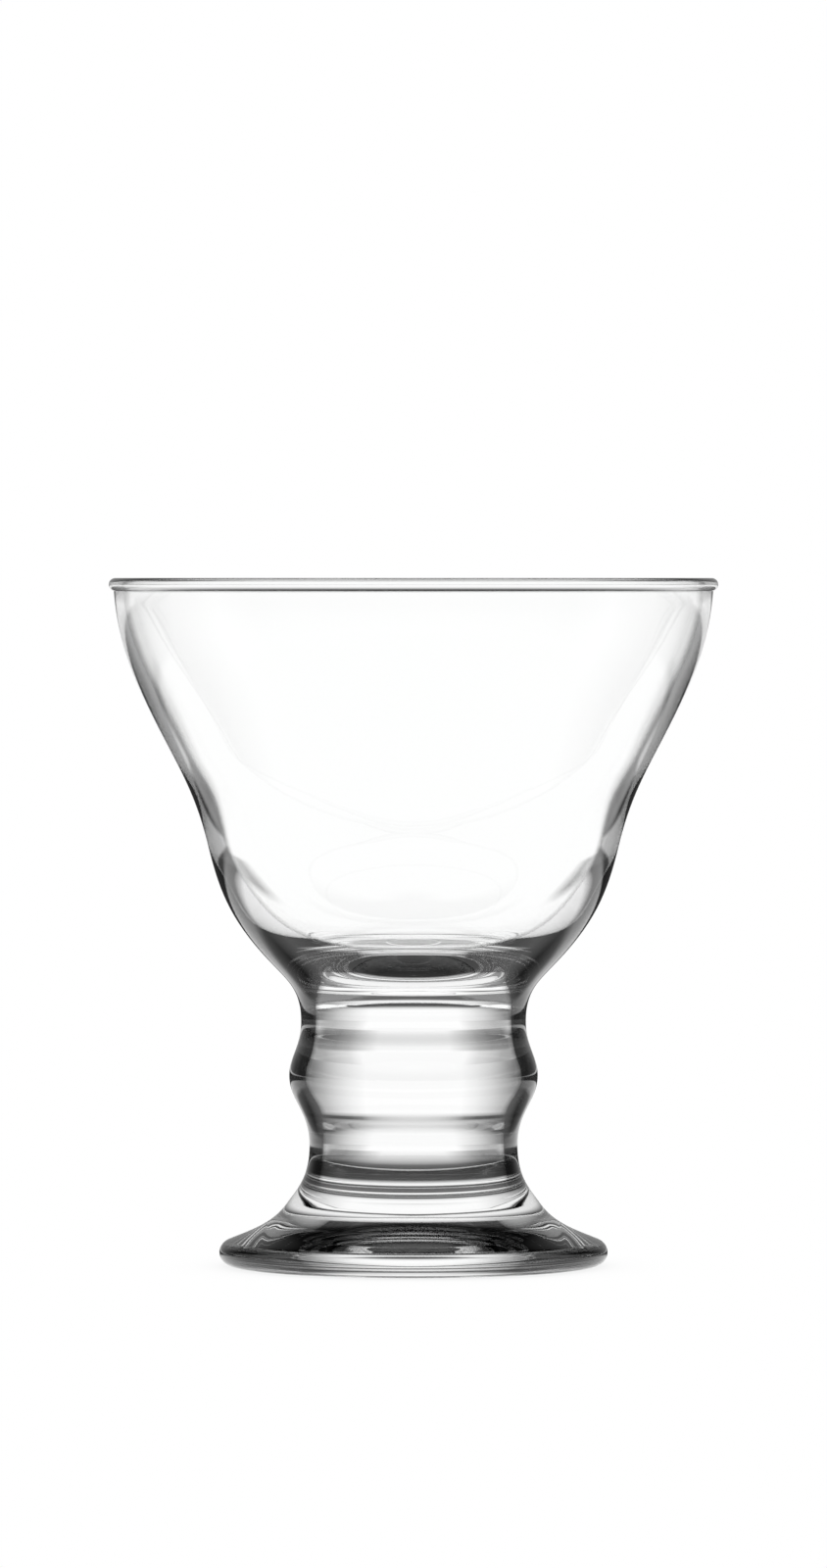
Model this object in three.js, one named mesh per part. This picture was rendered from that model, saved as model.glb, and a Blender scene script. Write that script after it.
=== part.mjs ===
// A footed dessert glass in clear glass: a flared bowl with a beaded rim, a solid stem with one
// soft knop, and a round foot. The three pieces are formed separately and welded face to face.
// Millimetres, +Z up, origin in the middle of the base.

import * as THREE from "three";

// Heights of the three pieces, stacked on each other
const FOOT_HEIGHT = 15.5;
const STEM_HEIGHT = 26.8;
const BOWL_HEIGHT = 67.7;

// The two welds: what meets there has one diameter, and one lean from the vertical in degrees
const FOOT_WELD_DIAMETER = 34.2;
const FOOT_WELD_LEAN = -14.4;
const BOWL_WELD_DIAMETER = 36.8;
const BOWL_WELD_LEAN = 15.4;

// Foot: a rounded edge, a concave flare up to the stem, and a very shallow hollow under it inside a
// flat ring; the hollow's shoulder is where it turns down to the ring
const FOOT_DIAMETER = 62.2;
const FOOT_EDGE_RADIUS = 2.05;
const FOOT_TOP_LEAN = -68;
const FLARE_DIAMETER = 40.5;
const FLARE_HEIGHT = 9.9;
const FLARE_LEAN = -35.2;
const RESTING_RING_WIDTH = 5;
const HOLLOW_DEPTH = 0.4;
const HOLLOW_SHOULDER_DIAMETER = 26;
const HOLLOW_SHOULDER_DROP = 0.15;
const HOLLOW_SHOULDER_LEAN = 91.2;

// Stem: heights are from the foot's weld
const LOWER_NECK_DIAMETER = 33.35;
const LOWER_NECK_HEIGHT = 3.76;
const KNOP_DIAMETER = 39.8;
const KNOP_HEIGHT = 14.86;
const UPPER_NECK_DIAMETER = 36;
const UPPER_NECK_HEIGHT = 23.47;

// Outside of the bowl: heights are from the bowl's weld
const RIM_DIAMETER = 97.5;
const BEAD_RADIUS = 1.05;
const LIP_LEAN = 4.6;
const CUP_DIAMETER = 46.35;
const CUP_HEIGHT = 6.5;
const CUP_LEAN = 43.4;
const WAIST_DIAMETER = 65.95;
const WAIST_HEIGHT = 25.13;
const WAIST_LEAN = 13.8;
const SHOULDER_DIAMETER = 76.7;
const SHOULDER_HEIGHT = 38.97;
const SHOULDER_LEAN = 27.7;

// Inside of the bowl: the wall thickens downwards into a dished floor
const WALL_AT_LIP = 1.4;
const WALL_AT_SHOULDER = 2.1;
const WALL_AT_WAIST = 2.65;
const FLOOR_THICKNESS = 5.3;
const DISH_DIAMETER = 44.6;
const DISH_DEPTH = 6.4;
const DISH_LEAN = 48;

// Where the outline turns into the bead and out of it again, in degrees round the bead
const BEAD_START = -75;
const BEAD_END = 200;

// Fineness of the facets
const SIDES = 60;
const STEPS_PER_SPAN = 5;
const STEPS_PER_BEND = 10;

const LEVEL = 90;
const UPRIGHT = 0;

const { degToRad } = THREE.MathUtils;

// A point of an outline: where it is, which way the outline leans there (0 goes straight up and
// 90 level outwards), and how far the curve holds that lean, as a share of the span to the next.
function station(diameter, height, lean, hold) {
  const angle = degToRad(lean);
  return {
    point: new THREE.Vector2(diameter / 2, height),
    along: new THREE.Vector2(Math.sin(angle), Math.cos(angle)),
    hold,
  };
}

// The station on the other face of a wall, square through it.
function behind({ point, along, hold }, wall) {
  const inwards = new THREE.Vector2(-along.y, along.x);
  return { point: point.clone().addScaledVector(inwards, wall), along, hold };
}

// One cubic curve per span, so that the outline runs smoothly through its stations.
function smoothLine(stations) {
  const path = new THREE.CurvePath();
  stations.slice(1).forEach((to, i) => {
    const from = stations[i];
    const span = from.point.distanceTo(to.point);
    const leaving = from.point.clone().addScaledVector(from.along, from.hold * span);
    const arriving = to.point.clone().addScaledVector(to.along, -to.hold * span);
    path.add(new THREE.CubicBezierCurve(from.point, leaving, arriving, to.point));
  });
  return path.getPoints(STEPS_PER_SPAN);
}

// Points round a bend, from one angle to another in degrees.
function bend(centre, radius, from, to) {
  const arc = new THREE.EllipseCurve(
    centre.x, centre.y, radius, radius, degToRad(from), degToRad(to));
  return arc.getPoints(STEPS_PER_BEND);
}

// A solid of revolution from its outline, which starts and ends on the axis. Two points that fall
// on each other, where one stretch of the outline joins the next, become one.
function turned(name, outline) {
  const apart = 0.001;
  const points = outline.filter((p, i) => i === 0 || p.distanceTo(outline[i - 1]) > apart);
  const glass = new THREE.MeshStandardMaterial({
    color: 0xf7fafa, roughness: 0.02, metalness: 0, transparent: true, opacity: 0.35,
  });
  const mesh = new THREE.Mesh(new THREE.LatheGeometry(points, SIDES), glass);
  mesh.name = name;
  return mesh;
}

const onAxis = (height) => new THREE.Vector2(0, height);

// Foot: from the middle of the hollow out to the ring it rests on, round the edge and up the flare.
function makeFoot() {
  const edgeCentre = new THREE.Vector2(FOOT_DIAMETER / 2 - FOOT_EDGE_RADIUS, FOOT_EDGE_RADIUS);
  const ringInside = 2 * (edgeCentre.x - RESTING_RING_WIDTH);
  const hollow = smoothLine([
    station(0, HOLLOW_DEPTH, LEVEL, 0.35),
    station(
      HOLLOW_SHOULDER_DIAMETER, HOLLOW_DEPTH - HOLLOW_SHOULDER_DROP, HOLLOW_SHOULDER_LEAN, 0.3),
    station(ringInside, 0, LEVEL, 0.3),
  ]);
  const edge = bend(edgeCentre, FOOT_EDGE_RADIUS, -LEVEL, -FOOT_TOP_LEAN);
  const edgeTop = edge[edge.length - 1];
  const flare = smoothLine([
    station(2 * edgeTop.x, edgeTop.y, FOOT_TOP_LEAN, 0.35),
    station(FLARE_DIAMETER, FLARE_HEIGHT, FLARE_LEAN, 0.36),
    station(FOOT_WELD_DIAMETER, FOOT_HEIGHT, FOOT_WELD_LEAN, 0.4),
  ]);
  return turned("foot", [...hollow, ...edge, ...flare, onAxis(FOOT_HEIGHT)]);
}

// Stem: solid, between the two welds, with the knop between its necks.
function makeStem() {
  const side = smoothLine([
    station(FOOT_WELD_DIAMETER, 0, FOOT_WELD_LEAN, 0.28),
    station(LOWER_NECK_DIAMETER, LOWER_NECK_HEIGHT, UPRIGHT, 0.46),
    station(KNOP_DIAMETER, KNOP_HEIGHT, UPRIGHT, 0.34),
    station(UPPER_NECK_DIAMETER, UPPER_NECK_HEIGHT, UPRIGHT, 0.44),
    station(BOWL_WELD_DIAMETER, STEM_HEIGHT, BOWL_WELD_LEAN, 0.29),
  ]);
  return turned("stem", [onAxis(0), ...side, onAxis(STEM_HEIGHT)]);
}

// Bowl: up the outside, over the bead, and down the inside to the middle of the dished floor.
function makeBowl() {
  const beadCentre = new THREE.Vector2(RIM_DIAMETER / 2 - BEAD_RADIUS, BOWL_HEIGHT - BEAD_RADIUS);
  const bead = bend(beadCentre, BEAD_RADIUS, BEAD_START, BEAD_END);
  const lip = station(2 * bead[0].x, bead[0].y, LIP_LEAN, 0.37);
  const shoulder = station(SHOULDER_DIAMETER, SHOULDER_HEIGHT, SHOULDER_LEAN, 0.36);
  const waist = station(WAIST_DIAMETER, WAIST_HEIGHT, WAIST_LEAN, 0.37);
  const outside = smoothLine([
    station(BOWL_WELD_DIAMETER, 0, BOWL_WELD_LEAN, 0.34),
    station(CUP_DIAMETER, CUP_HEIGHT, CUP_LEAN, 0.42),
    waist,
    shoulder,
    lip,
  ]);
  const inside = smoothLine([
    station(0, FLOOR_THICKNESS, LEVEL, 0.4),
    station(DISH_DIAMETER, FLOOR_THICKNESS + DISH_DEPTH, DISH_LEAN, 0.3),
    behind(waist, WALL_AT_WAIST),
    behind(shoulder, WALL_AT_SHOULDER),
    behind(lip, WALL_AT_LIP),
  ]);
  return turned("bowl", [onAxis(0), ...outside, ...bead, ...inside.reverse()]);
}

// The outlines turn about the Y axis, so the glass is stacked along Y and then stood up along Z.
const glass = new THREE.Group();
let base = 0;
for (const [piece, height] of [
  [makeFoot(), FOOT_HEIGHT],
  [makeStem(), STEM_HEIGHT],
  [makeBowl(), BOWL_HEIGHT],
]) {
  piece.position.y = base;
  base += height;
  glass.add(piece);
}
glass.rotation.x = Math.PI / 2;

const part = new THREE.Group();
part.add(glass);

export default part;
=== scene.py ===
"""A footed dessert glass in clear glass: bowl, stem and foot, in a white studio.

Each piece is drawn as one half outline, in millimetres, and spun about the glass's axis. The pieces
meet at two welds, where the glass runs through without a surface.
"""

import logging
import math
from dataclasses import dataclass
from enum import Enum
from typing import Any, ClassVar, Sequence

import bpy
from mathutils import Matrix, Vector


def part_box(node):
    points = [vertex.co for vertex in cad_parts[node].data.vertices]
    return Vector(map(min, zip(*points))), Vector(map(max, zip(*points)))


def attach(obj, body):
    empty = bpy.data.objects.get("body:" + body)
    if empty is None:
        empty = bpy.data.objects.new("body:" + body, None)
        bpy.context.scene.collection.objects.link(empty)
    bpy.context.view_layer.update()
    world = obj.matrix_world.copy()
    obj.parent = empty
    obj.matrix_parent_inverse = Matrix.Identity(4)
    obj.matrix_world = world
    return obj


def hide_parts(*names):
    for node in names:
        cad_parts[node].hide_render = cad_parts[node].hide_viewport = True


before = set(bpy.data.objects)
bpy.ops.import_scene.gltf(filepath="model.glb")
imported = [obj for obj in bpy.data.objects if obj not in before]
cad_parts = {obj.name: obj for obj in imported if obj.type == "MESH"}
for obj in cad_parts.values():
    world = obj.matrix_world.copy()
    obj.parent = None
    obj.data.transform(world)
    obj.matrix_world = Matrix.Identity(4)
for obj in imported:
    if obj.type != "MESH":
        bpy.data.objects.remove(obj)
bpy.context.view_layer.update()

LOG = logging.getLogger("dessert_glass")

MM = 0.001
LEVEL = 90.0
UPRIGHT = 0.0
BODY = "root"
# Half a step parts one whole count from the next
HALF_STEP = 0.5
# The Layer Weight blend at which Facing is one less the cosine of the angle
PLAIN_FACING = 0.5
# Sockets of a Mix node for colours
MIX_A = 6
MIX_B = 7
MIX_RESULT = 2

Stops = Sequence[tuple[float, float]]


class Node(Enum):
    """The glass's three pieces, by the names of their solids."""

    BOWL = "bowl"
    STEM = "stem"
    FOOT = "foot"


class Weld(Enum):
    """The two welds, by the pieces that meet there, lower piece first."""

    FOOT_TO_STEM = (Node.FOOT, Node.STEM)
    STEM_TO_BOWL = (Node.STEM, Node.BOWL)

    @property
    def height(self) -> float:
        """Height of the weld in millimetres, where the upper piece starts."""
        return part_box(self.value[1].value)[0].z / MM


def top_of(node: Node) -> float:
    """Height of a solid's top in millimetres."""
    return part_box(node.value)[1].z / MM


def radius_of(node: Node) -> float:
    """Largest radius of a solid in millimetres."""
    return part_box(node.value)[1].x / MM


class Value:
    """A number in a shader, to which Python's operators add Math nodes."""

    def __init__(self, graph: "Graph", socket: bpy.types.NodeSocket) -> None:
        """Wrap an output socket of a graph's node."""
        self.graph = graph
        self.socket = socket

    def math(
            self, operation: str, *others: "Value | float",
            first: "Value | float | None" = None) -> "Value":
        """Add a Math node.

        Args:
            operation: the Math node's operation.
            others: its further operands.
            first: its first operand, where that isn't this value.

        Returns:
            The node's result.
        """
        operands = (self, *others) if first is None else (first, self, *others)
        inputs = dict(enumerate(operands))
        node = self.graph.node("ShaderNodeMath", {"operation": operation}, inputs)
        return Value(self.graph, node.outputs[0])

    def __add__(self, other: "Value | float") -> "Value":
        """Sum."""
        return self.math("ADD", other)

    def __sub__(self, other: "Value | float") -> "Value":
        """Difference."""
        return self.math("SUBTRACT", other)

    def __rsub__(self, other: "Value | float") -> "Value":
        """Difference from a number."""
        return self.math("SUBTRACT", first=other)

    def __mul__(self, other: "Value | float") -> "Value":
        """Product."""
        return self.math("MULTIPLY", other)

    def __truediv__(self, other: "Value | float") -> "Value":
        """Quotient."""
        return self.math("DIVIDE", other)

    def __gt__(self, other: "Value | float") -> "Value":
        """One where this value is the greater, else zero."""
        return self.math("GREATER_THAN", other)

    def __lt__(self, other: "Value | float") -> "Value":
        """One where this value is the less, else zero."""
        return self.math("LESS_THAN", other)

    def __abs__(self) -> "Value":
        """Size without the sign."""
        return self.math("ABSOLUTE")

    __radd__ = __add__

    def at_least(self, count: int) -> "Value":
        """One where this whole number has reached a count, else zero."""
        return self > count - HALF_STEP

    def at_most(self, count: int) -> "Value":
        """One where this whole number isn't past a count, else zero."""
        return self < count + HALF_STEP

    def ramp(self, stops: Stops) -> "Value":
        """Read this value off a line through some stops.

        Args:
            stops: places in this value's own unit, in order, each with its level from 0 to 1.

        Returns:
            The level, held at the end stops beyond them.
        """
        low, high = stops[0][0], stops[-1][0]
        share = (self - low) / (high - low)
        node = self.graph.node("ShaderNodeValToRGB", {}, {"Fac": share})
        elements = node.color_ramp.elements
        while len(elements) < len(stops):
            elements.new(1.0)
        for element, (place, level) in zip(elements, stops):
            element.position = (place - low) / (high - low)
            element.color = (level, level, level, 1.0)
        return Value(self.graph, node.outputs["Color"])


def blend(share: Value, start: "Value | float", end: "Value | float") -> Value:
    """Go from one value to another as a share goes from 0 to 1."""
    return (1 - share) * start + share * end


class Graph:
    """The nodes of one material or of the world."""

    def __init__(self, tree: bpy.types.NodeTree) -> None:
        """Start with an empty tree."""
        self.tree = tree
        tree.nodes.clear()

    def node(self, kind: str, settings: dict[str, Any], inputs: dict[Any, Any]) -> bpy.types.Node:
        """Add a node.

        Args:
            kind: the node's type.
            settings: its own properties, which are set first.
            inputs: values or links for its sockets, by name or number.

        Returns:
            The node.
        """
        node = self.tree.nodes.new(kind)
        for name, setting in settings.items():
            setattr(node, name, setting)
        for key, given in inputs.items():
            if isinstance(given, Value):
                self.tree.links.new(given.socket, node.inputs[key])
            elif isinstance(given, bpy.types.NodeSocket):
                self.tree.links.new(given, node.inputs[key])
            else:
                node.inputs[key].default_value = given
        return node

    def place(self, coordinates: str) -> tuple[bpy.types.NodeSocket, list[Value]]:
        """Read where a shaded point is.

        Args:
            coordinates: which of the texture coordinates to read.

        Returns:
            The vector, and its three numbers.
        """
        vector = self.node("ShaderNodeTexCoord", {}, {}).outputs[coordinates]
        parts = self.node("ShaderNodeSeparateXYZ", {}, {"Vector": vector})
        return vector, [Value(self, socket) for socket in parts.outputs]

    def ray(self, question: str) -> Value:
        """What Light Path says about the ray that arrives."""
        return Value(self, self.node("ShaderNodeLightPath", {}, {}).outputs[question])

    def facing(self) -> Value:
        """How far a face turns away from the ray, from 0 where it is met squarely to 1 at its edge."""
        layer = self.node("ShaderNodeLayerWeight", {}, {"Blend": PLAIN_FACING})
        return Value(self, layer.outputs["Facing"])


def distance(x: Value, y: Value) -> Value:
    """Distance from the glass's axis."""
    return (x * x + y * y).math("SQRT")


def bearing(x: Value, y: Value) -> Value:
    """Degrees to either side of straight behind the glass, which is +Y."""
    return abs(x).math("ARCTAN2", y) * math.degrees(1.0)


class Ray:
    """How a ray came to what it meets, from its passes through faces of glass and its bounces."""

    def __init__(self, graph: Graph) -> None:
        """Read both counts off Light Path."""
        self.passes = graph.ray("Transmission Depth")
        self.bounces = graph.ray("Ray Depth")

    @property
    def mirrored(self) -> Value:
        """One where the glass only mirrored the ray."""
        return self.passes.at_most(1)

    @property
    def thin(self) -> Value:
        """One where the ray went through at least two walls, as in the bowl."""
        return self.passes.at_least(4)

    @property
    def first(self) -> Value:
        """One where the ray bounced at most once."""
        return self.bounces.at_most(1)

    @property
    def straight(self) -> Value:
        """One where the ray only went into the glass and out of it."""
        return (1 - self.mirrored) * self.bounces.at_most(2)

    @property
    def turned(self) -> Value:
        """One where the ray was thrown back at least once inside the glass."""
        return self.bounces.at_least(3)

    @property
    def turned_once(self) -> Value:
        """One where the ray was thrown back once inside the glass."""
        return self.turned * self.bounces.at_most(3)

    @property
    def scattered(self) -> Value:
        """One where the ray was thrown back at least twice."""
        return self.bounces.at_least(4)

    @property
    def lost(self) -> Value:
        """One where the ray was thrown back so often that it could come from anywhere."""
        return self.bounces.at_least(6)


@dataclass(frozen=True)
class Knot:
    """One point of a drawn outline with its two handles, in millimetres from the axis and the table."""

    point: Vector
    before: Vector
    after: Vector


@dataclass(frozen=True)
class Station:
    """Where an outline passes, which way it leans there, and how far it holds that lean.

    The lean is in degrees: 0 goes straight up, 90 level outwards. The hold is a share of the span to
    the next station.
    """

    radius: float
    height: float
    lean: float
    hold: float

    @property
    def point(self) -> Vector:
        """The station's place in the outline's plane."""
        return Vector((self.radius, self.height))

    @property
    def along(self) -> Vector:
        """Which way the outline runs here."""
        angle = math.radians(self.lean)
        return Vector((math.sin(angle), math.cos(angle)))

    def behind(self, wall: float) -> "Station":
        """The station on the other face of a wall, square through it."""
        place = self.point + wall * Vector((-self.along.y, self.along.x))
        return Station(place.x, place.y, self.lean, self.hold)

    def turned(self) -> "Station":
        """The same station for an outline that runs the other way."""
        return Station(self.radius, self.height, self.lean + 2 * LEVEL, self.hold)


class Outline:
    """Half the section of a piece, drawn from the axis round to the axis again."""

    def __init__(self) -> None:
        """Start with nothing drawn."""
        self.knots: list[Knot] = []

    def _reach(self, knot: Knot) -> None:
        """Add a knot, or let it carry on from the last one where they meet.

        Args:
            knot: the knot to add.
        """
        meeting = 1e-4
        if self.knots and (self.knots[-1].point - knot.point).length < meeting:
            last = self.knots.pop()
            knot = Knot(knot.point, last.before, knot.after)
        self.knots.append(knot)

    def corner(self, radius: float, height: float) -> None:
        """Go straight to a point."""
        place = Vector((radius, height))
        self._reach(Knot(place, place, place))

    def sweep(self, stations: Sequence[Station]) -> None:
        """Draw a smooth line, one cubic curve per span.

        Args:
            stations: what the line runs through, in order.
        """
        spans = [(b.point - a.point).length for a, b in zip(stations, stations[1:])]
        for i, station in enumerate(stations):
            back = spans[i - 1] if i else 0.0
            ahead = spans[i] if i < len(spans) else 0.0
            reach = station.hold * station.along
            place = station.point
            self._reach(Knot(place, place - back * reach, place + ahead * reach))

    def bend(self, centre: Vector, radius: float, start: float, end: float) -> None:
        """Draw an arc.

        Args:
            centre: the arc's centre.
            radius: its radius.
            start: the angle in degrees where it starts, from 0 straight outwards.
            end: the angle where it ends.
        """
        most_per_curve = 60.0
        count = math.ceil(abs(end - start) / most_per_curve)
        step = math.radians(end - start) / count
        # The length at which a cubic curve's handles make it follow an arc
        handle = 4 / 3 * math.tan(step / 4) * radius
        for i in range(count + 1):
            angle = math.radians(start) + i * step
            place = centre + radius * Vector((math.cos(angle), math.sin(angle)))
            tangent = handle * Vector((-math.sin(angle), math.cos(angle)))
            before = place - tangent if i else place
            after = place + tangent if i < count else place
            self._reach(Knot(place, before, after))


def in_space(place: Vector) -> Vector:
    """A point of an outline's plane, in metres, in the plane that is spun."""
    return Vector((place.x, 0.0, place.y)) * MM


@dataclass(frozen=True)
class Shade:
    """A stretch of painted shade in the glass's colour: the heights where it lies, and its tone by how
    the glass is seen.
    """

    reach: Stops
    tone: Stops

    def at(self, height: Value, view: Value, share: "Value | float") -> Value:
        """The painted shade's tone at a height in millimetres, for a view, where a share of it counts.
        """
        return blend(height.ramp(self.reach) * share, 1.0, view.ramp(self.tone))


@dataclass(frozen=True)
class ClearGlass:
    """Clear pressed glass, fire-polished, with the faint waves that a mould leaves.

    The shades are painted shade in the glass's colour, which darkens the light through it and gives the
    glass its dark lines. The stem's sides and the lining go by how far a face turns away from the view,
    and the lip by how far below its top it is. The others go by how squarely a face is seen with its own
    slope left out. Heights are in millimetres, waves in metres.
    """

    tint: tuple[float, float, float] = (0.999, 1.0, 0.9995)
    thick_tint: tuple[float, float, float] = (0.994, 0.998, 0.996)
    refraction: float = 1.52
    smudge: float = 0.012
    smudge_scale: float = 45.0
    smudge_detail: float = 3.0
    smudge_spread: Stops = ((0.0, 0.0), (0.6, 0.0), (0.8, 1.0))
    wave_size: float = 0.011
    wave_height: float = 0.000004
    wave_detail: float = 1.0
    weld_band: float = 0.12
    weld_margin: float = 0.04
    # Painted shade along the sides of the stem and the bottom of the bowl, where a face turns away from
    # the view
    stem_side_painted_shade: Shade = Shade(
        reach=((11.0, 0.0), (15.0, 1.0), (49.0, 1.0), (54.0, 0.0)),
        tone=((0.45, 1.0), (0.51, 0.006)))
    # Painted shade in the crease under the knop, darkest towards the sides
    knop_crease_painted_shade: Shade = Shade(
        reach=((23.5, 0.0), (24.2, 1.0), (24.6, 1.0), (25.3, 0.0)),
        tone=(
            (0.7, 0.003), (0.8, 0.012), (0.86, 0.05), (0.885, 0.15), (0.94, 0.4), (1.0, 0.6),
            (1.3, 1.0)))
    # Painted shade at the ends of the foot's rim
    foot_rim_painted_shade: Shade = Shade(
        reach=((0.4, 0.0), (0.8, 1.0), (3.5, 1.0), (4.0, 0.0)),
        tone=((0.3, 0.04), (0.82, 0.04), (0.9, 0.35), (1.0, 1.0)))
    # Painted shade across the foot's top
    foot_top_painted_shade: Shade = Shade(
        reach=((3.6, 0.0), (4.1, 1.0), (8.2, 1.0), (8.7, 0.0)),
        tone=((0.55, 1.0), (0.8, 0.2), (0.86, 0.006), (1.1, 0.006), (1.25, 1.0)))
    # Painted shade on the outside of the bowl level with its floor, towards the sides
    bowl_floor_painted_shade: Shade = Shade(
        reach=((47.3, 0.0), (47.7, 1.0), (51.0, 1.0), (51.6, 0.0)),
        tone=((0.6, 1.0), (0.68, 0.015), (0.9, 0.015), (0.97, 1.0)))
    # Painted shade on the bowl's lining, where it turns away from the view
    lining_painted_shade: Stops = ((0.78, 1.0), (0.85, 0.35), (0.9, 0.1))
    # Painted shade in a band just below the lip and along its top
    lip_painted_shade: Stops = ((-2.3, 1.0), (-1.9, 0.4), (-1.6, 0.4), (-1.3, 1.0), (-0.7, 1.0), (-0.4, 0.32))

    def material(
            self, name: str, welds: Sequence[tuple[float, float]],
            lip: float | None = None) -> bpy.types.Material:
        """Make the glass for one piece.

        Args:
            name: the material's name.
            welds: height and radius in millimetres of each of the piece's weld faces.
            lip: height of the lip in millimetres, for a piece that is hollow.

        Returns:
            The material, which has no surface on the weld faces.
        """
        material = bpy.data.materials.new(name)
        material.use_nodes = True
        graph = Graph(material.node_tree)
        vector, (x, y, z) = graph.place("Object")
        height = z / MM
        waves = graph.node("ShaderNodeTexNoise", {}, {
            "Vector": vector, "Scale": 1 / self.wave_size, "Detail": self.wave_detail})
        bump = graph.node("ShaderNodeBump", {}, {
            "Height": waves.outputs["Fac"], "Distance": self.wave_height, "Strength": 1.0})
        wipes = graph.node("ShaderNodeTexNoise", {}, {
            "Vector": vector, "Scale": self.smudge_scale, "Detail": self.smudge_detail})
        smudges = Value(graph, wipes.outputs["Fac"]).ramp(self.smudge_spread)
        colour = graph.node("ShaderNodeMix", {"data_type": "RGBA"}, {
            "Factor": waves.outputs["Fac"], MIX_A: (*self.tint, 1.0), MIX_B: (*self.thick_tint, 1.0)})
        # Painted shade: the glass's colour is multiplied by the tone of its shades, which darkens the
        # light through it
        shaded = graph.node("ShaderNodeMix", {"data_type": "RGBA", "blend_type": "MULTIPLY"}, {
            "Factor": 1.0, MIX_A: colour.outputs[MIX_RESULT],
            MIX_B: self.tone(graph, x, y, height, lip)})
        glass = graph.node("ShaderNodeBsdfPrincipled", {}, {
            "Base Color": shaded.outputs[MIX_RESULT],
            "Roughness": smudges * self.smudge,
            "IOR": self.refraction,
            "Transmission Weight": 1.0,
            "Alpha": 1 - self.welded(distance(x, y) / MM, height, welds),
            "Normal": bump.outputs["Normal"],
        })
        graph.node("ShaderNodeOutputMaterial", {}, {"Surface": glass.outputs["BSDF"]})
        return material

    def welded(
            self, radius: Value, height: Value, welds: Sequence[tuple[float, float]]) -> "Value | float":
        """Find the weld faces.

        Args:
            radius: distance from the axis in millimetres.
            height: height in millimetres.
            welds: height and radius in millimetres of each weld face.

        Returns:
            One on the weld faces, short of their edges, else zero.
        """
        welded: Value | float = 0.0
        for weld_height, weld_radius in welds:
            level = abs(height - weld_height) < self.weld_band
            welded = welded + level * (radius < weld_radius - self.weld_margin)
        return welded

    def tone(self, graph: Graph, x: Value, y: Value, height: Value, lip: float | None) -> Value:
        """Put the painted shades of one piece together.

        Args:
            graph: the material's nodes.
            x: place across the glass.
            y: place along the view.
            height: height in millimetres.
            lip: height of the lip in millimetres, for a piece that is hollow.

        Returns:
            The tone of the painted shade, which is 1 where the glass is clear.
        """
        facing = graph.facing()
        geometry = graph.node("ShaderNodeNewGeometry", {}, {})
        parts = graph.node("ShaderNodeSeparateXYZ", {}, {"Vector": geometry.outputs["Normal"]})
        across, along, up = (Value(graph, socket) for socket in parts.outputs)
        # How squarely a face is seen, with its own slope left out
        squareness = (1 - facing) / distance(across, along)
        leaving = Value(graph, geometry.outputs["Backfacing"])
        entering = 1 - leaving
        if lip is None:
            # Painted shade for the stem and the foot
            return (
                self.stem_side_painted_shade.at(height, facing, 1.0)
                * self.foot_rim_painted_shade.at(height, squareness, entering)
                * self.foot_top_painted_shade.at(height, squareness, entering)
                * self.knop_crease_painted_shade.at(height, squareness, entering))
        # The outside looks out and down, the lining in and up; the normal turns round for leaving rays
        outwards = (across * x + along * y) / distance(x, y)
        outside = (1 - leaving * 2) * (outwards - up) > 0.0
        # Painted shade for the bowl
        return (
            self.stem_side_painted_shade.at(height, facing, outside)
            * self.bowl_floor_painted_shade.at(height, squareness, entering * outside)
            * blend(outside, facing.ramp(self.lining_painted_shade), 1.0)
            * (height - lip).ramp(self.lip_painted_shade))


@dataclass(frozen=True)
class Joints:
    """What the pieces share where they are welded: each weld's radius and lean."""

    foot_radius: float = 17.1
    foot_lean: float = -14.4
    bowl_radius: float = 18.4
    bowl_lean: float = 15.4


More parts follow.
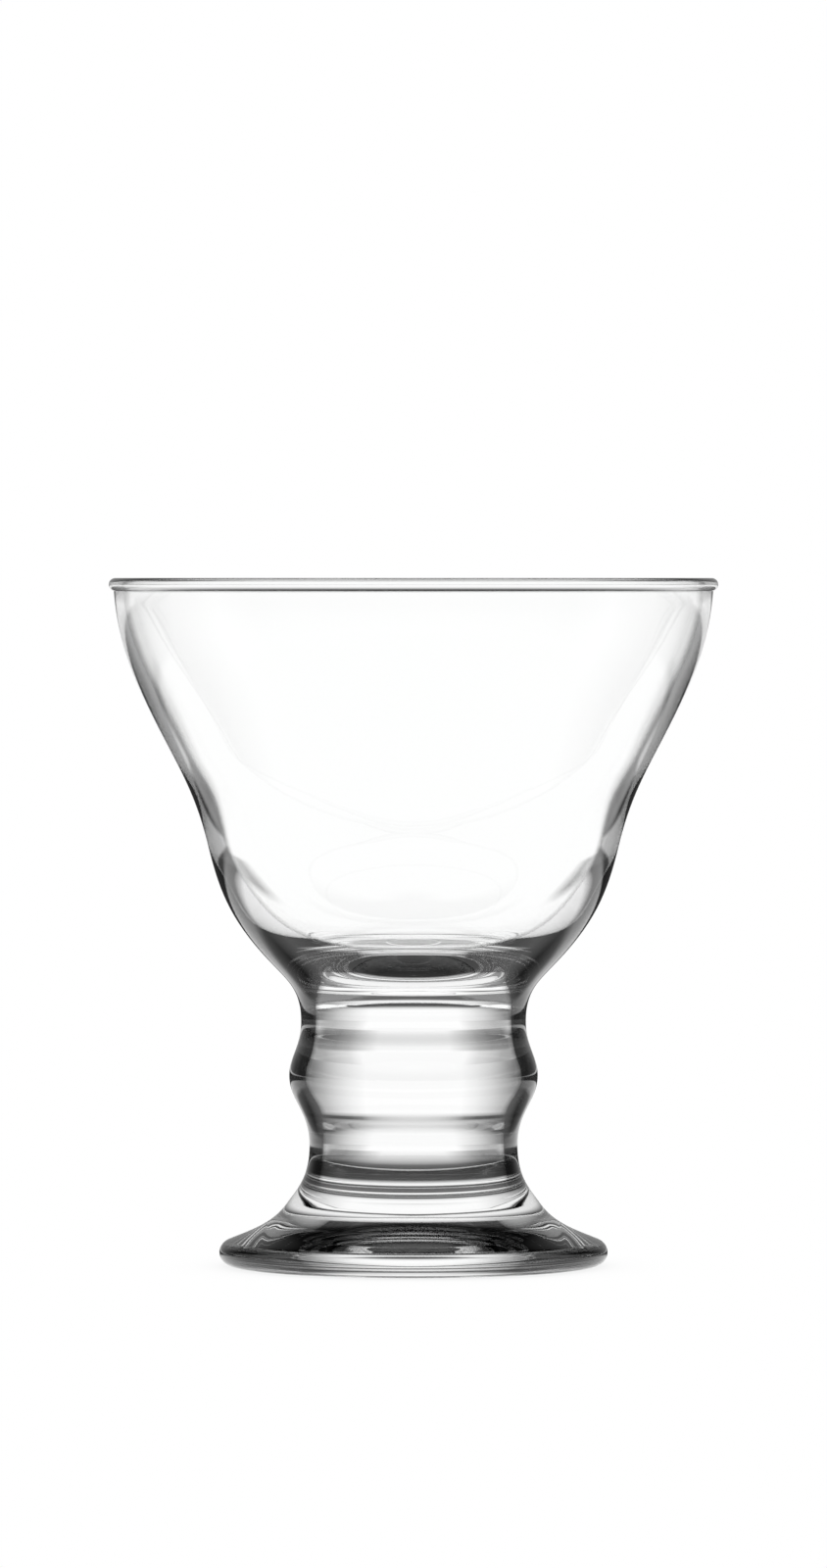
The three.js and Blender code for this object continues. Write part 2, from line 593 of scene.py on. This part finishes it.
@dataclass
class GlassPiece:
    """A solid of revolution in clear glass that stands for one solid of the frame.

    Its edges stay sharp above the crease angle. Its weld faces are dished by a small gap, so that two of
    them never lie on each other.
    """

    node: ClassVar[Node]
    finish: ClearGlass
    joints: Joints
    sides: int = 320
    points_per_curve: int = 24
    crease: float = 40.0
    weld_gap: float = 0.05

    def outline(self) -> Outline:
        """Draw half of the piece's section."""
        raise NotImplementedError

    def welds(self) -> list[tuple[float, float]]:
        """Height and radius in millimetres of each of the piece's weld faces."""
        raise NotImplementedError

    def lip(self) -> float | None:
        """Height of the lip in millimetres, for a piece that is hollow."""
        return None

    def build(self) -> bpy.types.Object:
        """Draw the outline as a curve, spin it about the axis, and close its seam and poles.

        Returns:
            The piece, at the origin with its place in its mesh.
        """
        knots = self.outline().knots
        bpy.ops.object.select_all(action="DESELECT")
        bpy.ops.curve.primitive_bezier_curve_add(location=(0.0, 0.0, 0.0))
        piece = bpy.context.object
        piece.data.resolution_u = self.points_per_curve
        points = piece.data.splines[0].bezier_points
        points.add(len(knots) - len(points))
        for point, knot in zip(points, knots):
            point.handle_left_type = point.handle_right_type = "FREE"
            point.co = in_space(knot.point)
            point.handle_left = in_space(knot.before)
            point.handle_right = in_space(knot.after)
        bpy.ops.object.convert(target="MESH")
        piece = bpy.context.object
        piece.name = piece.data.name = f"{self.node.value}_glass"
        meeting = 2e-7
        bpy.ops.object.mode_set(mode="EDIT")
        bpy.ops.mesh.select_all(action="SELECT")
        bpy.ops.mesh.remove_doubles(threshold=meeting)
        bpy.ops.mesh.spin(
            steps=self.sides, angle=math.tau, center=(0.0, 0.0, 0.0), axis=(0.0, 0.0, 1.0))
        bpy.ops.mesh.select_all(action="SELECT")
        bpy.ops.mesh.remove_doubles(threshold=meeting)
        bpy.ops.mesh.normals_make_consistent(inside=False)
        bpy.ops.object.mode_set(mode="OBJECT")
        bpy.ops.object.shade_smooth_by_angle(angle=math.radians(self.crease))
        return piece

    def dress(self, piece: bpy.types.Object) -> None:
        """Give the piece its glass, and tie it to the solid that it stands for.

        Args:
            piece: what build made.
        """
        glass = self.finish.material(f"{self.node.value}_clear_glass", self.welds(), self.lip())
        piece.data.materials.append(glass)
        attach(piece, BODY)
        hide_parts(self.node.value)
        LOG.info("%s: %d faces", piece.name, len(piece.data.polygons))


@dataclass
class Foot(GlassPiece):
    """The round foot: a rounded edge, a concave flare, and a shallow hollow inside a flat ring."""

    node: ClassVar[Node] = Node.FOOT
    edge_radius: float = 2.05
    top_lean: float = -68.0
    flare_radius: float = 20.25
    flare_height: float = 9.9
    flare_lean: float = -35.2
    top_hold: float = 0.35
    flare_hold: float = 0.36
    weld_hold: float = 0.4
    ring_width: float = 8.5
    hollow_depth: float = 1.5
    shoulder_radius: float = 5.0
    shoulder_drop: float = 0.2
    shoulder_lean: float = 94.8
    middle_hold: float = 0.35
    shoulder_hold: float = 0.3

    def welds(self) -> list[tuple[float, float]]:
        """The foot is welded on top."""
        return [(Weld.FOOT_TO_STEM.height, self.joints.foot_radius)]

    def outline(self) -> Outline:
        """Draw from the middle of the hollow out to the ring, round the edge and up the flare.

        Returns:
            The foot's outline.
        """
        line = Outline()
        edge_centre = Vector((radius_of(Node.FOOT) - self.edge_radius, self.edge_radius))
        shoulder_height = self.hollow_depth - self.shoulder_drop
        ring_inside = edge_centre.x - self.ring_width
        line.sweep([
            Station(0.0, self.hollow_depth, LEVEL, self.middle_hold),
            Station(self.shoulder_radius, shoulder_height, self.shoulder_lean, self.shoulder_hold),
            Station(ring_inside, 0.0, self.shoulder_lean, self.shoulder_hold),
        ])
        line.corner(edge_centre.x, 0.0)
        line.bend(edge_centre, self.edge_radius, -LEVEL, -self.top_lean)
        edge_top = line.knots[-1].point
        weld = Weld.FOOT_TO_STEM.height
        line.sweep([
            Station(edge_top.x, edge_top.y, self.top_lean, self.top_hold),
            Station(self.flare_radius, self.flare_height, self.flare_lean, self.flare_hold),
            Station(self.joints.foot_radius, weld, self.joints.foot_lean, self.weld_hold),
        ])
        line.corner(0.0, weld - self.weld_gap)
        return line


@dataclass
class Stem(GlassPiece):
    """The solid stem, with one soft knop between its two necks."""

    node: ClassVar[Node] = Node.STEM
    lower_neck_radius: float = 16.675
    lower_neck_height: float = 19.26
    knop_height: float = 30.36
    upper_neck_radius: float = 18.0
    upper_neck_height: float = 38.97
    foot_weld_hold: float = 0.28
    lower_neck_hold: float = 0.46
    knop_hold: float = 0.34
    upper_neck_hold: float = 0.44
    bowl_weld_hold: float = 0.29

    def welds(self) -> list[tuple[float, float]]:
        """The stem is welded at both ends."""
        return [
            (Weld.FOOT_TO_STEM.height, self.joints.foot_radius),
            (Weld.STEM_TO_BOWL.height, self.joints.bowl_radius),
        ]

    def outline(self) -> Outline:
        """Draw from the lower weld up the side to the upper one.

        Returns:
            The stem's outline.
        """
        line = Outline()
        bottom, top = Weld.FOOT_TO_STEM.height, Weld.STEM_TO_BOWL.height
        line.corner(0.0, bottom + self.weld_gap)
        line.sweep([
            Station(self.joints.foot_radius, bottom, self.joints.foot_lean, self.foot_weld_hold),
            Station(self.lower_neck_radius, self.lower_neck_height, UPRIGHT, self.lower_neck_hold),
            Station(radius_of(Node.STEM), self.knop_height, UPRIGHT, self.knop_hold),
            Station(self.upper_neck_radius, self.upper_neck_height, UPRIGHT, self.upper_neck_hold),
            Station(self.joints.bowl_radius, top, self.joints.bowl_lean, self.bowl_weld_hold),
        ])
        line.corner(0.0, top - self.weld_gap)
        return line


@dataclass
class Bowl(GlassPiece):
    """The flared bowl: a cupped base, a waist, a shoulder and a beaded rim, over a dished floor."""

    node: ClassVar[Node] = Node.BOWL
    points_per_curve: int = 15
    bead_radius: float = 1.05
    bead_start: float = -75.0
    bead_end: float = 200.0
    lip_lean: float = 4.6
    lip_hold: float = 0.37
    weld_hold: float = 0.34
    cup: Station = Station(23.175, 48.8, 43.4, 0.42)
    waist: Station = Station(32.975, 67.43, 13.8, 0.37)
    shoulder: Station = Station(38.35, 81.27, 27.7, 0.36)
    wall_at_waist: float = 2.65
    wall_at_shoulder: float = 2.1
    wall_at_lip: float = 1.4
    floor_height: float = 47.6
    floor_hold: float = 0.4
    dish: Station = Station(22.3, 54.0, 48.0, 0.3)
    mark_radius: float = 4.2
    mark_width: float = 0.5
    mark_height: float = 0.12

    def welds(self) -> list[tuple[float, float]]:
        """The bowl is welded underneath."""
        return [(Weld.STEM_TO_BOWL.height, self.joints.bowl_radius)]

    def lip(self) -> float:
        """The bowl is open at the top."""
        return top_of(Node.BOWL)

    def on_floor(self, radius: float, rise: float = 0.0) -> Station:
        """A level station on the middle of the floor, or that much above it."""
        return Station(radius, self.floor_height + rise, LEVEL, self.floor_hold)

    def outline(self) -> Outline:
        """Draw up the outside, over the bead, and down the inside to the middle of the floor.

        Returns:
            The bowl's outline.
        """
        line = Outline()
        bottom = Weld.STEM_TO_BOWL.height
        line.corner(0.0, bottom + self.weld_gap)
        rim = top_of(Node.BOWL) - self.bead_radius
        bead_centre = Vector((radius_of(Node.BOWL) - self.bead_radius, rim))
        start = math.radians(self.bead_start)
        turn = bead_centre + self.bead_radius * Vector((math.cos(start), math.sin(start)))
        lip = Station(turn.x, turn.y, self.lip_lean, self.lip_hold)
        line.sweep([
            Station(self.joints.bowl_radius, bottom, self.joints.bowl_lean, self.weld_hold),
            self.cup,
            self.waist,
            self.shoulder,
            lip,
        ])
        line.bend(bead_centre, self.bead_radius, self.bead_start, self.bead_end)
        inside = [
            lip.behind(self.wall_at_lip),
            self.shoulder.behind(self.wall_at_shoulder),
            self.waist.behind(self.wall_at_waist),
            self.dish,
            self.on_floor(self.mark_radius + self.mark_width),
            self.on_floor(self.mark_radius, self.mark_height),
            self.on_floor(self.mark_radius - self.mark_width),
            self.on_floor(0.0),
        ]
        line.sweep([station.turned() for station in inside])
        return line


@dataclass(frozen=True)
class Studio:
    """A white studio: a table, a lit backdrop that fades out to either side, and a camera.

    What the camera sees of it is white. Through the glass it has the shading that draws a clear
    glass's edges. Bearings are degrees to either side of straight behind the glass, heights degrees
    above the horizon, and distances millimetres from the glass's axis.
    """

    # Backdrop and screens
    backdrop: Stops = (
        (0, 1.0), (16, 1.0), (22, 0.86), (28, 0.68), (36, 0.42), (44, 0.2), (48, 0.16), (60, 0.16),
        (78, 0.5), (90, 0.8), (110, 0.03))
    backdrop_top: Stops = ((16, 1.0), (24, 0.8), (30, 0.35), (36, 0.06), (60, 0.03))
    straight_top: Stops = ((40, 1.0), (50, 0.1))
    mirrored_backdrop: float = 0.35
    side_screen: Stops = ((70, 0.0), (78, 1.0), (102, 1.0), (110, 0.0))
    front_screen: Stops = ((60, 0.0), (80, 1.0))
    scattered_front: Stops = ((85, 0.0), (125, 0.3))
    softbox_bearing: Stops = ((60, 0.0), (85, 1.0))
    softbox_height: Stops = ((10, 0.0), (32, 1.0), (76, 1.0), (88, 0.0))
    lost_tone: float = 0.25

    # Table, seen through solid glass
    shade_by_distance: Stops = (
        (0, 0.03), (30, 0.06), (40, 0.11), (50, 0.16), (62, 0.4), (76, 0.58), (110, 0.78), (150, 0.92),
        (200, 1.0))
    shade_by_bearing: Stops = (
        (10, 1.0), (16, 0.7), (20, 0.48), (26, 0.3), (36, 0.25), (44, 0.6), (52, 0.9), (60, 1.0))
    shade_end: Stops = ((185, 0.0), (225, 1.0))
    open_bearing: Stops = (
        (16, 1.0), (21, 0.75), (28, 0.55), (33, 0.42), (40, 0.38), (48, 0.45), (60, 0.7), (80, 1.0))
    open_slope: Stops = ((0.76, 1.0), (0.84, 0.0))
    turned_distance: Stops = ((23, 0.03), (29, 0.9), (60, 1.0))
    scattered_distance: Stops = ((14, 0.95), (20, 0.1), (23, 0.05), (29, 0.9), (80, 1.0), (200, 0.3))

    # Table, mirrored in the glass
    mirrored_table: Stops = (
        (60, 0.05), (110, 0.35), (140, 1.0), (300, 1.0), (340, 0.05), (1100, 0.05), (1300, 1.0))
    mirrored_front: Stops = ((55, 0.0), (75, 1.0))

    # Dark cards on the table, which draw the edges of the bowl's wall
    near_card_bearing: Stops = ((16, 0.0), (21, 1.0), (32, 1.0), (38, 0.0))
    near_card_distance: Stops = ((150, 0.0), (185, 1.0), (290, 1.0), (330, 0.0))
    wide_card_bearing: Stops = ((8, 0.0), (18, 1.0), (46, 1.0), (52, 0.0))
    wide_card_distance: Stops = (
        (130, 0.0), (165, 1.0), (290, 1.0), (330, 0.45), (900, 0.35), (1400, 0.0))
    card_tone: float = 0.08
    under_foot: float = 60.0

    # Table itself, with lengths in metres
    table_size: float = 8.0
    table_drop: float = 0.0002
    # Painted shadow of the glass on the table, from ambient occlusion
    contact_shade: float = 0.12
    contact_reach: float = 0.012
    contact_samples: int = 16

    # Camera, in metres and in pixels of the photograph
    camera_distance: float = 1.5
    camera_height: float = 0.110
    camera_reach: float = 100.0
    pixels_per_metre: float = 6377.0
    frame_height: float = 1600.0
    rim_row: float = 589.8
    sensor: float = 36.0
    bounces: int = 24

    def build_world(self) -> None:
        """Light the glass from a backdrop, from screens and from a soft box overhead."""
        world = bpy.data.worlds.new("studio")
        bpy.context.scene.world = world
        world.use_nodes = True
        graph = Graph(world.node_tree)
        _, (x, y, z) = graph.place("Generated")
        side = bearing(x, y)
        rise = z.math("ARCSINE") * math.degrees(1.0)
        ray = Ray(graph)
        screens = (
            side.ramp(self.backdrop) * blend(ray.mirrored, 1.0, self.mirrored_backdrop)
            + ray.straight * side.ramp(self.side_screen)
            + ray.first * side.ramp(self.front_screen)
            + ray.scattered * side.ramp(self.scattered_front))
        top = blend(ray.straight, rise.ramp(self.backdrop_top), rise.ramp(self.straight_top))
        softbox = side.ramp(self.softbox_bearing) * rise.ramp(self.softbox_height)
        glint = graph.ray("Is Reflection Ray") * softbox
        studio = blend(ray.lost, screens * top, self.lost_tone) + glint
        seen = blend(graph.ray("Is Camera Ray"), blend(ray.thin, studio, 1.0), 1.0)
        light = graph.node("ShaderNodeBackground", {}, {"Color": seen, "Strength": 1.0})
        graph.node("ShaderNodeOutputWorld", {}, {"Surface": light.outputs["Background"]})

    def build_table(self) -> None:
        """Lay the white, glowing table, with painted shade where the glass stands."""
        bpy.ops.object.select_all(action="DESELECT")
        bpy.ops.mesh.primitive_plane_add(size=self.table_size, location=(0.0, 0.0, -self.table_drop))
        table = bpy.context.object
        table.name = "table"
        material = bpy.data.materials.new("white_table")
        material.use_nodes = True
        table.data.materials.append(material)
        graph = Graph(material.node_tree)
        _, (x, y, _) = graph.place("Object")
        away, side = distance(x, y) / MM, bearing(x, y)
        ray = Ray(graph)
        thin = ray.thin * (away > self.under_foot)
        near_card = side.ramp(self.near_card_bearing) * away.ramp(self.near_card_distance)
        wide_card = side.ramp(self.wide_card_bearing) * away.ramp(self.wide_card_distance)
        card = thin * near_card + ray.turned_once * wide_card
        solid = self.table_through_solid(graph, ray, away, side)
        through_glass = blend(thin, solid, 1.0) * blend(card, 1.0, self.card_tone)
        on_glass = blend(side.ramp(self.mirrored_front), away.ramp(self.mirrored_table), 1.0)
        in_glass = blend(ray.mirrored, through_glass, on_glass)
        # Painted shadow: ambient occlusion darkens the glowing table's colour round the glass
        contact = graph.node(
            "ShaderNodeAmbientOcclusion", {"samples": self.contact_samples},
            {"Distance": self.contact_reach})
        white_with_painted_shadow = blend(Value(graph, contact.outputs["AO"]), 1.0 - self.contact_shade, 1.0)
        seen = blend(graph.ray("Is Camera Ray"), in_glass, white_with_painted_shadow)
        light = graph.node("ShaderNodeEmission", {}, {"Color": seen, "Strength": 1.0})
        graph.node("ShaderNodeOutputMaterial", {}, {"Surface": light.outputs["Emission"]})

    def table_through_solid(self, graph: Graph, ray: Ray, away: Value, side: Value) -> Value:
        """Shade the table as the stem and the foot show it.

        Args:
            graph: the table's nodes.
            ray: how the ray came to the table.
            away: distance from the glass's axis.
            side: bearing from the glass.

        Returns:
            The table's level, from 0 to 1.
        """
        beside = away.ramp(self.shade_by_distance) * side.ramp(self.shade_by_bearing)
        steep = graph.facing().ramp(self.open_slope)
        beyond = blend(steep, side.ramp(self.open_bearing), 1.0)
        level = blend(away.ramp(self.shade_end), beside, beyond)
        level = blend(ray.turned, level, away.ramp(self.turned_distance))
        level = blend(ray.scattered, level, away.ramp(self.scattered_distance))
        return blend(ray.lost, level, self.lost_tone)

    def build_camera(self) -> None:
        """Set the camera level with the rim, looking very slightly down, as the photograph was taken."""
        below_rim = (self.frame_height / 2 - self.rim_row) / self.pixels_per_metre
        pitch = math.atan(below_rim / self.camera_distance)
        place = (0.0, -self.camera_distance, self.camera_height)
        bpy.ops.object.camera_add(location=place, rotation=(math.radians(LEVEL) - pitch, 0.0, 0.0))
        camera = bpy.context.object
        camera.data.sensor_width = self.sensor
        frame_in_metres = self.frame_height / self.pixels_per_metre
        camera.data.lens = self.sensor * self.camera_distance / frame_in_metres
        camera.data.clip_end = self.camera_reach
        scene = bpy.context.scene
        scene.camera = camera
        scene.view_settings.view_transform = "Standard"
        scene.cycles.max_bounces = self.bounces
        scene.cycles.transmission_bounces = self.bounces
        scene.cycles.transparent_max_bounces = self.bounces


def main() -> None:
    """Build the studio and the glass."""
    logging.basicConfig(level=logging.INFO)
    studio = Studio()
    studio.build_camera()
    studio.build_world()
    studio.build_table()
    joints = Joints()
    finish = ClearGlass()
    for part in (Foot(finish, joints), Stem(finish, joints), Bowl(finish, joints)):
        part.dress(part.build())


if __name__ == "__main__":
    main()
